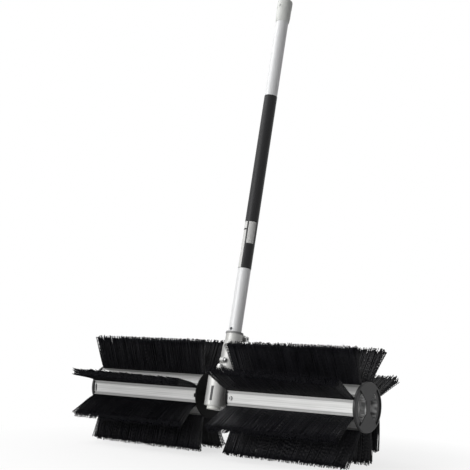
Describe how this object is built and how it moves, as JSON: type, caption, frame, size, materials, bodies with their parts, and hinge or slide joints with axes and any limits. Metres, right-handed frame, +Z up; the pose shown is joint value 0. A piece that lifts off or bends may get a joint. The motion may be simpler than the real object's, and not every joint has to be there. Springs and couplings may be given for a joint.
{
  "type": "power sweeper attachment",
  "caption": "Sweeper head with two bristle drums on a worm gear case, driven through a bare aluminium tube with a travel cap.",
  "frame": {"origin": "centre of the drive tube's upper end", "axes": "+Z up, +X along the drums to the right, -Y towards the front; the tube leans back towards +Y"},
  "size_m": [0.637, 0.2792, 0.9185],
  "materials": {
    "tube_aluminium": "satin",
    "drum_aluminium": "satin",
    "case_casting": "bead blasted",
    "cap_plastic": "matte",
    "wrap_film": "satin",
    "bush_plastic": "matte",
    "black_plastic": "satin",
    "hub_plastic": "matte",
    "ring_rubber": "matte",
    "pale_plastic": "matte",
    "bristle_nylon": "matte",
    "steel": "machined",
    "dark_steel": "black oxide",
    "bronze": "machined",
    "rubber": "matte"
  },
  "bodies": {
    "head": {"drive_tube": "tube_aluminium", "tube_wrap": "wrap_film", "tube_bushes": "bush_plastic", "drive_bearings": "steel", "drive_seal": "rubber", "dust_ring": "ring_rubber", "locating_screw": "dark_steel", "gear_case_left": "case_casting", "gear_case_right": "case_casting", "case_plate": "black_plastic", "case_bolts": "steel", "clamp_bolt": "steel", "clamp_nut": "steel", "worm_bearing_top": "steel", "worm_bearing_low": "steel", "worm_cap": "pale_plastic", "grease_plug": "steel", "output_bearings": "steel", "output_seals": "rubber"},
    "drive": {"drive_shaft": "steel", "drive_gear": "steel", "drive_clip": "dark_steel"},
    "worm": {"worm_shaft": "steel", "follower_gear": "steel"},
    "drums": {"output_shaft": "steel", "worm_wheel": "bronze", "wheel_key": "steel", "drum_left": "drum_aluminium", "drum_right": "drum_aluminium", "hub_left": "hub_plastic", "hub_right": "hub_plastic", "cap_left": "black_plastic", "cap_right": "black_plastic", "drum_bolts": "steel", "drum_nuts": "steel", "cap_screws": "steel", "brush_left_1": "bristle_nylon", "brush_left_2": "bristle_nylon", "brush_left_3": "bristle_nylon", "brush_left_4": "bristle_nylon", "brush_left_5": "bristle_nylon", "brush_left_6": "bristle_nylon", "brush_left_7": "bristle_nylon", "brush_left_8": "bristle_nylon", "brush_right_1": "bristle_nylon", "brush_right_2": "bristle_nylon", "brush_right_3": "bristle_nylon", "brush_right_4": "bristle_nylon", "brush_right_5": "bristle_nylon", "brush_right_6": "bristle_nylon", "brush_right_7": "bristle_nylon", "brush_right_8": "bristle_nylon"},
    "travel_cap": {"tube_cap": "cap_plastic"}
  },
  "joints": [
    {"name": "drum_spin", "type": "hinge", "parent": "head", "child": "drums", "pos_m": [0, -0.15678, -0.80283], "axis": [1, 0, 0], "continuous": true},
    {"name": "worm_spin", "type": "hinge", "parent": "head", "child": "worm", "pos_m": [0, -0.18426, -0.79747], "axis": [0, 0.1917, 0.9815], "continuous": true},
    {"name": "drive_spin", "type": "hinge", "parent": "head", "child": "drive", "pos_m": [0, -0.15678, -0.80283], "axis": [0, 0.1917, 0.9815], "continuous": true},
    {"name": "cap_pull", "type": "slide", "parent": "head", "child": "travel_cap", "axis": [0, 0.1917, 0.9815], "range_m": [0, 0.06]}
  ],
  "couplings": [
    {"joint": "worm_spin", "follows": "drum_spin", "ratio": 28},
    {"joint": "drive_spin", "follows": "drum_spin", "ratio": -28}
  ]
}
